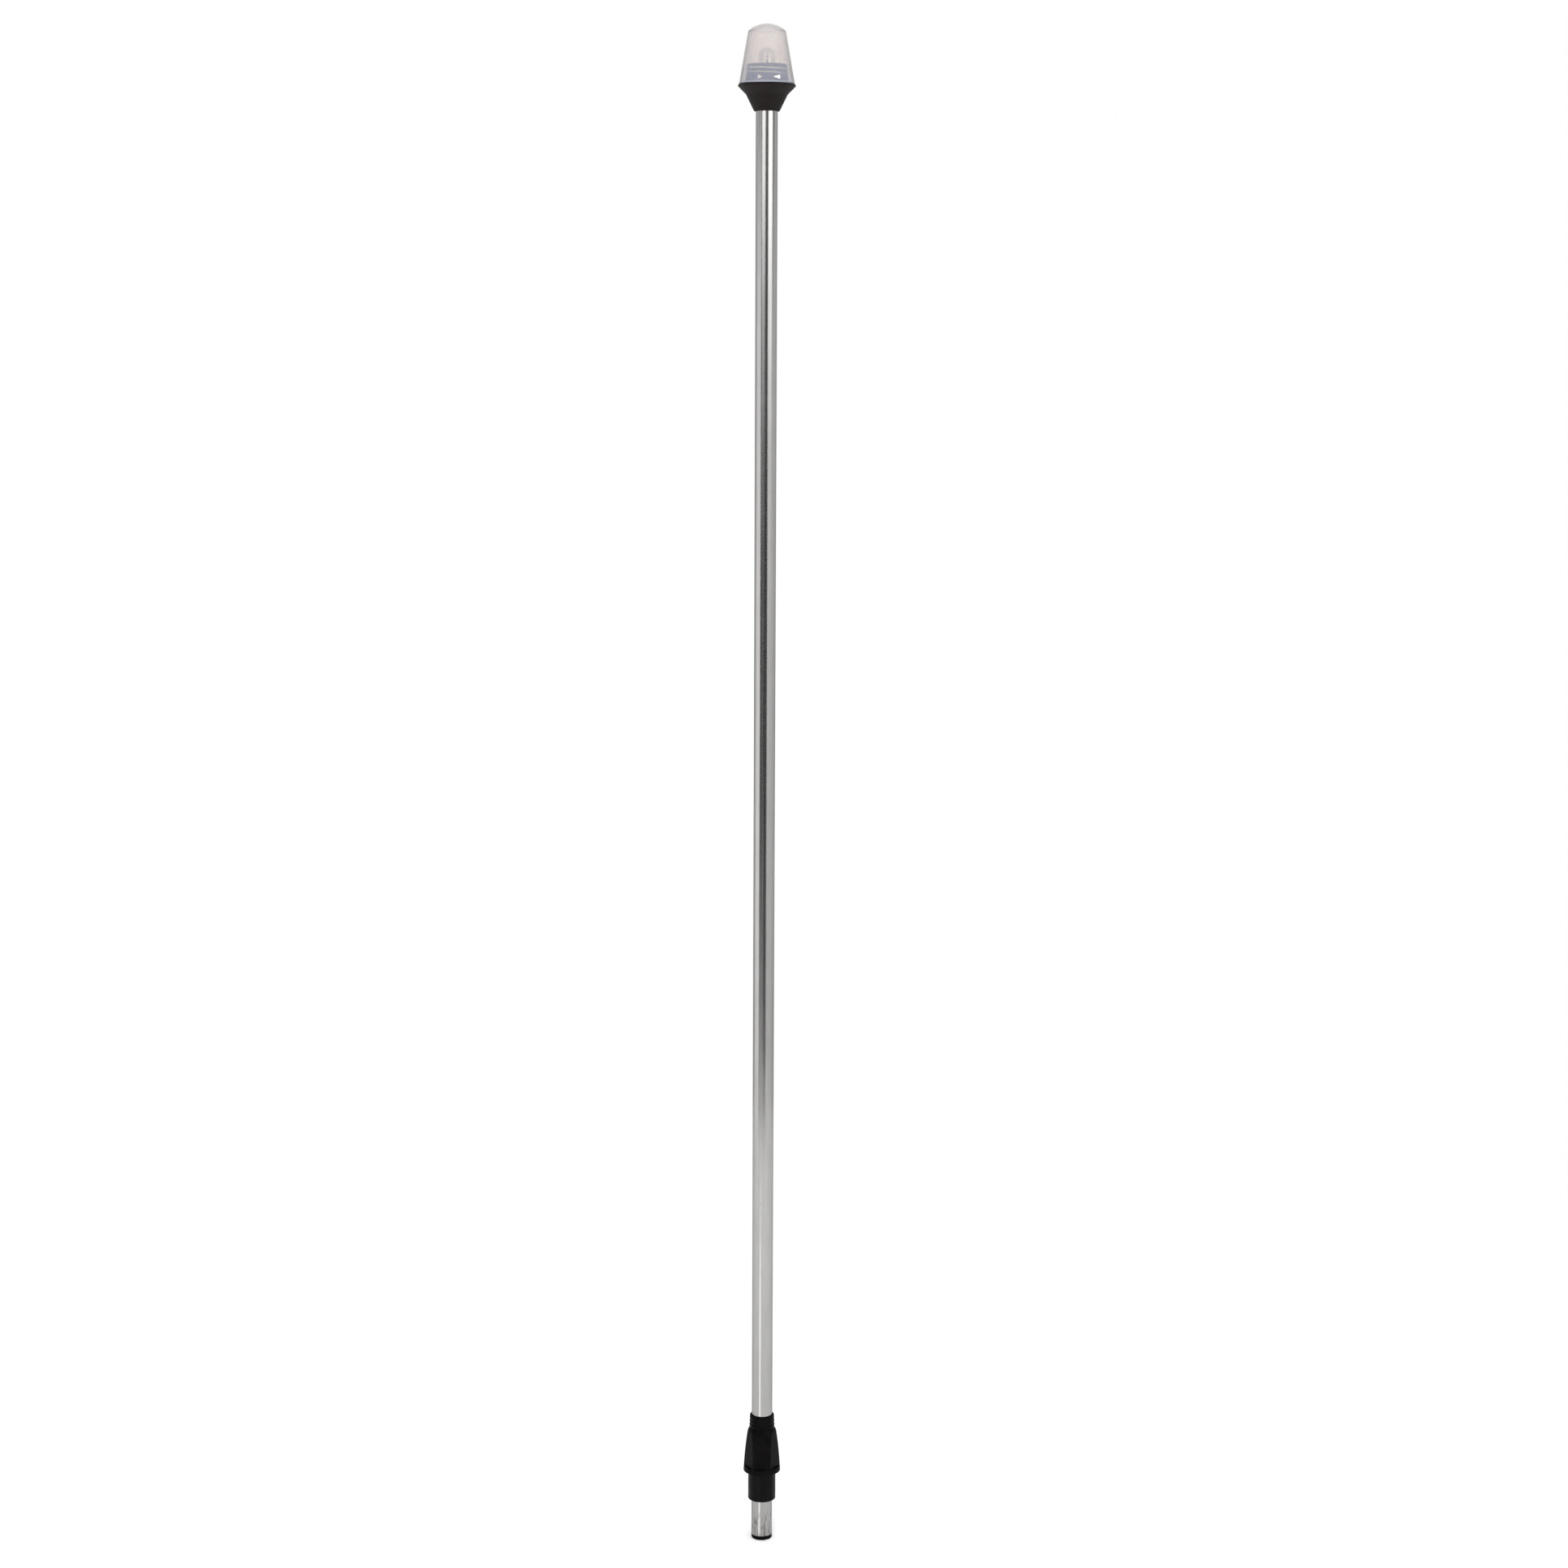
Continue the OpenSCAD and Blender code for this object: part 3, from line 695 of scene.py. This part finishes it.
def make_arrow(name, body, slot, x, width, height, r, lean, z):
    """A raised triangle on a leaning wall in front, its base at x and its tip width further."""
    proud, edge, buried = 0.14, 0.07, 0.1
    columns = 14
    bm = bmesh.new()

    def point(along, up, out):
        reach = r - lean * up + out
        angle = -90 + math.degrees((x + along) / r)
        return at(angle, reach, z + up)

    def loop(inset, out):
        start, end = inset * math.copysign(1, width), width - 3 * inset * math.copysign(1, width)
        steps = [start + (end - start) * k / columns for k in range(columns + 1)]
        half = [(height / 2) * (1 - abs(a / width)) - inset * 0.6 for a in steps]
        upper = [point(a, max(h, 0.02), out) for a, h in zip(steps, half)]
        lower = [point(a, -max(h, 0.02), out) for a, h in zip(steps, half)]
        return upper, lower

    rows = [loop(0, -buried), loop(0, proud - edge), loop(edge, proud)]
    verts = [[[bm.verts.new(p) for p in side] for side in row] for row in rows]
    for (up0, low0), (up1, low1) in zip(verts, verts[1:]):
        round0, round1 = up0 + low0[::-1], up1 + low1[::-1]
        count = len(round0)
        for k in range(count):
            j = (k + 1) % count
            bm.faces.new([round0[k], round0[j], round1[j], round1[k]])
    for up, low in (verts[0], verts[-1]):
        for k in range(columns):
            bm.faces.new([up[k], up[k + 1], low[k + 1], low[k]])
    place_piece(built(name, bm, 40), body, slot)


def make_arrows():
    base = extent("housing")[0]
    foot, top, mouth = extent("globe")
    lean = (mouth - SHOULDER[0]) / (top - SHOULDER[1] - foot)
    z = base + ARROW_H
    make_arrow("arrow_neck", "mast", "nylon_white", -7.9, 4.0, 3.6, BAND_R, 0, z)
    z -= 0.3
    reach = mouth - lean * (z - foot)
    make_arrow("arrow_globe", "globe", "nylon_white", 11.8, -6.0, 3.3, reach, lean, z)


# ---------- bulb ----------

BULB_WALL = 0.8
PINCH = (8.5, 14.0)  # heights over the wedge's foot between which the flat wedge swells to a round bulb
WEDGE = (4.75, 1.2)  # half width and half thickness
HOLLOW_H = 12.5  # height over the wedge's foot at which the bulb is hollow


def make_bulb():
    foot, top, r = extent("bulb_glass")
    flat_z, round_z = foot + PINCH[0], foot + PINCH[1]

    def pinched(angle, reach, z):
        """Flat with round edges at the wedge, and round from the swell up."""
        t = min(max((z / MM - flat_z) / (round_z - flat_z), 0), 1)
        t = t * t * (3 - 2 * t)
        scale = reach / (r * MM)
        a = (WEDGE[0] + (r - WEDGE[0]) * t) * scale
        b = (WEDGE[1] + (r - WEDGE[1]) * t) * scale
        n = 6 - 4 * t
        c, s = abs(math.cos(angle)) / a, abs(math.sin(angle)) / b
        return (c**n + s**n) ** (-1 / n) * MM

    def dome(radius, count=14):
        turns = [math.pi / 2 * k / count for k in range(count + 1)]
        return [(radius * math.cos(a), top - r + radius * math.sin(a), 0) for a in turns]

    heights = [foot + 0.4 + (top - r - foot - 0.4) * k / 36 for k in range(36)]
    outside = [(0, foot, 0), (r - 0.5, foot, 0)] + [(r, z, 0) for z in heights] + dome(r)
    outside[-1] = (0, top, 0)
    inner = r - BULB_WALL
    hollow = [z for z in heights if z > foot + HOLLOW_H]
    inside = dome(inner)[::-1] + [(inner, z, 0) for z in hollow[::-1]]
    inside[0] = (0, top - BULB_WALL, 0)
    inside += [(inner * 0.6, hollow[0] - 0.9, 0), (0, hollow[0] - 1.3, 0)]
    bm = bmesh.new()
    add_turned(bm, rounded(outside), sides=96, shape=pinched, hollow=False)
    add_turned(bm, rounded(inside), sides=96, shape=pinched, hollow=False)
    bulb = built("bulb_envelope", bm, 40)
    place_piece(bulb, "bulb", "bulb_glass", "bulb_glass")


def make_stem():
    """The glass stem and bead in the bulb, between its two leads."""
    foot = extent("bulb_glass")[0] + PINCH[1] - 0.3
    points = [(0, foot, 0), (1.5, foot, 0.2), (0.85, foot + 2.5, 1.5), (0.8, foot + 8, 0.8)]
    points += [(1.25, foot + 9, 0.6), (1.25, foot + 10.4, 0.6), (0, foot + 11, 0)]
    stem = turned("bulb_stem", points, sides=48, hollow=False)
    place_piece(stem, "bulb", "bulb_glass")


def make_filament():
    low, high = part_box("bulb_filament")
    middle = (low + high) / 2
    coil_r, wire_r, turns, steps = 0.3 * MM, 0.09 * MM, 15, 14
    half = (high.x - low.x) / 2
    centres, rings = [], []
    for k in range(turns * steps + 1):
        angle = 2 * math.pi * k / steps
        x = -half + 2 * half * k / (turns * steps)
        sag = -0.35 * MM * (1 - (x / half) ** 2)
        centres.append(middle + Vector((x, coil_r * math.sin(angle), coil_r * math.cos(angle) + sag)))
    for k, centre in enumerate(centres):
        ahead = (centres[min(k + 1, len(centres) - 1)] - centres[max(k - 1, 0)]).normalized()
        side = (centre - middle - Vector((centre.x - middle.x, 0, 0))).normalized()
        side = (side - ahead * side.dot(ahead)).normalized()
        rings.append(round_ring(centre, ahead, side, wire_r, 8))
    bm = bmesh.new()
    add_run(bm, rings)
    place_piece(built("filament_coil", bm, 60), "bulb", "tungsten", "bulb_filament")


# ---------- collar ----------

SLEEVE_BORE_R = 11.1
SLEEVE_STOP_Z = 66.0
COLLAR_BORE_R = 9.825
RING_Z = 76.2
RING_R = 0.6
RING_SEAT_R = 13.3
LUG_R = 1.2
LUG_REACH = (10.2, 11.7)  # from the axis, inside and outside
LUG_H = 6.0  # above the sleeve's mouth
SLEEVE_SEAT_R = 12.72
BUSH_SEAT_R = 11.25
BUSH_SEAT_Z = (86.8, 98.5)
RIM_TOP_Z = 70.4
FLATS = 6
FLAT_R = 14.5
FLAT_LEAN = math.tan(math.radians(2.9))
WAIST = (13.3, 103.5)  # radius and height of the grip's waist
RIBS = ((9.775, 109.9), (9.625, 113.6), (9.475, 117.3))  # radius and height of each rib's centre
RIB_R = 1.9
NECK_Z = 107.5  # where the ribbed neck begins


def make_sleeve():
    low, high, r = extent("lock_sleeve")
    points = [
        (SLEEVE_BORE_R, low, 0.4),
        (r, low, 1.3),
        (r, RING_Z - RING_R, 0),
        (r - RING_R, RING_Z - RING_R, 0),
        (r - RING_R, RING_Z + RING_R, 0),
        (r, RING_Z + RING_R, 0),
        (r, high, 0.3),
        (COLLAR_BORE_R, high, 0.2),
        (COLLAR_BORE_R, SLEEVE_STOP_Z, 0),
        (SLEEVE_BORE_R, SLEEVE_STOP_Z, 0.2),
    ]
    sleeve = turned("lock_sleeve_shell", points, steps=6)
    ends = [[Vector((side * r, 0, low + LUG_H)) * MM for r in LUG_REACH] for side in (-1, 1)]
    combined(sleeve, pegs("lugs", ends, LUG_R * MM, 32), "UNION")
    place_piece(sleeve, "collar", "sleeve_black", "lock_sleeve")


def grip_profile(low, rim):
    """The grip's outside from the rim's foot to its top, before the flats are cut: (r, z) pairs."""
    rim_r, steps = rim - 0.35, 44
    waist_r, waist_z = WAIST
    profile = [(rim - 0.7, low), (rim - 0.28, low + 0.12), (rim - 0.06, low + 0.38), (rim, low + 0.8)]
    profile += [(rim - 0.1, low + 2.6), (rim_r - 0.02, RIM_TOP_Z - 0.3), (rim_r - 0.12, RIM_TOP_Z - 0.08)]
    for k in range(steps + 1):
        t = k / steps
        z = RIM_TOP_Z + (waist_z - RIM_TOP_Z) * t
        profile.append((rim_r + (waist_r - rim_r) * t + 1.68 * t * (1 - t), z))
    return profile


def make_grip():
    low, high, rim = extent("collar_grip")

    def flats(angle, reach, z):
        """Cuts the finger flats into the flare, with a soft edge."""
        height = z / MM
        if height < RIM_TOP_Z - 1e-4 or reach < 12.5 * MM:
            return reach
        step = 2 * math.pi / FLATS
        off = (angle + math.pi / 2 + step / 2) % step - step / 2
        flat = (FLAT_R - FLAT_LEAN * (height - RIM_TOP_Z)) / math.cos(off)
        round_r, soft = reach / MM, 0.22
        near = max(soft - abs(round_r - flat), 0) / soft
        return (min(round_r, flat) - near * near * soft / 4) * MM

    outside = grip_profile(low, rim)
    outside += [(13.2, 104.0), (13.0, 104.5), (12.72, 105.1), (12.3, 106.0)]
    outside += [(11.9, 106.8), (11.62, 107.2), (11.34, NECK_Z)]
    count = 60
    for k in range(1, count + 1):
        z = NECK_Z + (high - 0.35 - NECK_Z) * k / count
        plain = 11.3 - 0.25 * (z - NECK_Z) / (high - NECK_Z)
        bulges = [c + math.sqrt(max(RIB_R**2 - (z - h) ** 2, 0)) for c, h in RIBS]
        outside.append((max(plain, *bulges), z))
    outside += [(10.9, high - 0.1), (10.7, high)]
    inside = [
        (COLLAR_BORE_R + 0.3, high),
        (COLLAR_BORE_R, high - 0.3),
        (COLLAR_BORE_R, BUSH_SEAT_Z[1]),
        (BUSH_SEAT_R, BUSH_SEAT_Z[1]),
        (BUSH_SEAT_R, BUSH_SEAT_Z[0]),
        (SLEEVE_SEAT_R, BUSH_SEAT_Z[0]),
        (SLEEVE_SEAT_R, RING_Z + RING_R),
        (RING_SEAT_R, RING_Z + RING_R),
        (RING_SEAT_R, RING_Z - RING_R),
        (SLEEVE_SEAT_R, RING_Z - RING_R),
        (SLEEVE_SEAT_R, low + 0.3),
        (13.0, low),
    ]
    bm = bmesh.new()
    add_turned(bm, [Vector(p) * MM for p in outside + inside], sides=360, shape=flats)
    place_piece(built("grip_shell", bm, 32), "collar", "collar_black", "collar_grip")


# ---------- studio ----------

FLOOR_R = 1.5
GLOW = 2.5  # brightness of the fan on the floor, along its middle
GLOW_TURN = -25  # degrees to the right of the camera
GLOW_HALF = 18  # degrees
GLOW_REACH = (0.02, 0.95)  # metres from the pole's axis
ROOM_SHADE = 0.22
# What the shiny pole mirrors, in degrees to the right of the camera and above level: soft boxes
# over white side walls, and a dark room behind the camera. Each row is an area's two sides, its
# bottom and top, the width of its soft edge, and its brightness; a row covers those before it.
ROOM = (
    (-180, 180, -90, 1.5, 2, 0.06),
    (-200, -52, -90, 3.5, 0.6, 1.0),
    (-125, -54, -90, 3.3, 1.5, 1.5),
    (24, 200, -90, 2.3, 1.5, 0.98),
    (-50, -6, -90, -12.6, 1.6, 0.66),
    (-200, -106, -90, 90, 8, 0.9),
    (92, 200, -90, 90, 8, 0.88),
    (-47, -11, 2.1, 40, 1.5, 3.2),
    (19, 64, 0.6, 40, 1.5, 3.2),
    (-180, 180, 42, 90, 8, 1.0),
)


def turned_right(tree, x, y):
    """Degrees to the right of the camera of a direction (x, y) from the pole."""
    front = math_node(tree, "MULTIPLY", y, -1.0)
    return math_node(tree, "DEGREES", math_node(tree, "ARCTAN2", x, front))


def make_world():
    """White where the camera sees past the object, and the room elsewhere."""
    world = bpy.data.worlds.new("studio")
    world.use_nodes = True
    tree = world.node_tree
    tree.nodes.clear()
    away = add(tree, "ShaderNodeTexCoord").outputs["Generated"]
    x, y, z = add(tree, "ShaderNodeSeparateXYZ", {0: away}).outputs
    across = turned_right(tree, x, y)
    above = math_node(tree, "DEGREES", math_node(tree, "ARCSINE", z))
    bright = ROOM_SHADE
    for left, right, low, high, edge, strength in ROOM:
        inside = 1.0
        for value, start, end in ((across, left, right), (above, low, high)):
            rise = spread(tree, value, start - edge / 2, start + edge / 2, smooth=True)
            fall = spread(tree, value, end + edge / 2, end - edge / 2, smooth=True)
            both = math_node(tree, "MULTIPLY", rise, fall)
            inside = math_node(tree, "MULTIPLY", inside, both)
        blend = add(tree, "ShaderNodeMix", {0: inside, 2: bright, 3: strength}, data_type="FLOAT")
        bright = blend.outputs[0]
    room = add(tree, "ShaderNodeBackground", {"Strength": bright})
    white = add(tree, "ShaderNodeBackground", {"Color": WHITE, "Strength": 1.0})
    camera_ray = add(tree, "ShaderNodeLightPath").outputs["Is Camera Ray"]
    shown = add(tree, "ShaderNodeMixShader", {0: camera_ray, 1: room.outputs[0], 2: white.outputs[0]})
    add(tree, "ShaderNodeOutputWorld", {"Surface": shown.outputs[0]})
    bpy.context.scene.world = world


def make_lamp(name, size, watts, place, aim):
    """A broad soft light, kept out of the shiny pole."""
    data = bpy.data.lights.new(name, "AREA")
    data.shape, data.size, data.energy = "DISK", size, watts
    lamp = bpy.data.objects.new(name, data)
    lamp.location = place
    lamp.rotation_euler = (Vector(aim) - lamp.location).to_track_quat("-Z", "Y").to_euler()
    lamp.visible_glossy = False
    bpy.context.scene.collection.objects.link(lamp)


def make_glow():
    """A brighter fan on the floor, from the foot towards the front left, for the pole to mirror."""
    near, far = GLOW_REACH
    bm = bmesh.new()
    corners = []
    for reach, side in ((near, -1), (far, -1), (far, 1), (near, 1)):
        turn = math.radians(GLOW_TURN + side * GLOW_HALF)
        corners.append(bm.verts.new((reach * math.sin(turn), -reach * math.cos(turn), 0.0)))
    bm.faces.new(corners)
    glow = built("glow", bm)
    glow.location.z = 0.0005
    glow.visible_camera = glow.visible_diffuse = False
    glow.visible_shadow = glow.visible_transmission = False
    made, tree = material("floor_glow")
    place = add(tree, "ShaderNodeTexCoord").outputs["Object"]
    x, y, _ = add(tree, "ShaderNodeSeparateXYZ", {0: place}).outputs
    aside = math_node(tree, "ABSOLUTE", math_node(tree, "SUBTRACT", turned_right(tree, x, y), GLOW_TURN))
    strength = spread(tree, aside, GLOW_HALF - 1, 2, 1.0, GLOW, smooth=True)
    surface(tree, add(tree, "ShaderNodeEmission", {"Strength": strength}).outputs[0])
    glow.data.materials.append(made)


def make_floor():
    bm = bmesh.new()
    bmesh.ops.create_circle(bm, cap_ends=True, segments=96, radius=FLOOR_R)
    floor = built("floor", bm)
    floor.location.z = -0.0003
    made, tree = material("pale_floor")
    shade = two_colours(tree, noise(tree, 60), (0.94, 0.94, 0.94), (0.96, 0.96, 0.96))
    surface(tree, add(tree, "ShaderNodeBsdfDiffuse", {"Color": shade}).outputs[0])
    floor.data.materials.append(made)


def make_view():
    scene = bpy.context.scene
    scene.view_settings.view_transform = "Standard"
    scene.view_settings.look = "None"


MATERIALS = make_materials()
make_camera()
make_world()
make_lamp("key", 1.6, 84, (-0.2, -3.25, 2.0), (0, 0, 1.2))
make_lamp("top", 3.0, 60, (0, 0, 6.0), (0, 0, 0))
make_glow()
make_floor()
make_view()
make_pole()
make_plug()
make_contacts()
make_globe()
make_housing()
make_gasket()
make_arrows()
make_bulb()
make_stem()
make_filament()
make_sleeve()
make_grip()
for part in frame["record"]["subparts"]:
    node = frame["nodes"][part["node"]]
    node.data.materials.clear()
    node.data.materials.append(MATERIALS[part["material_slot"]])
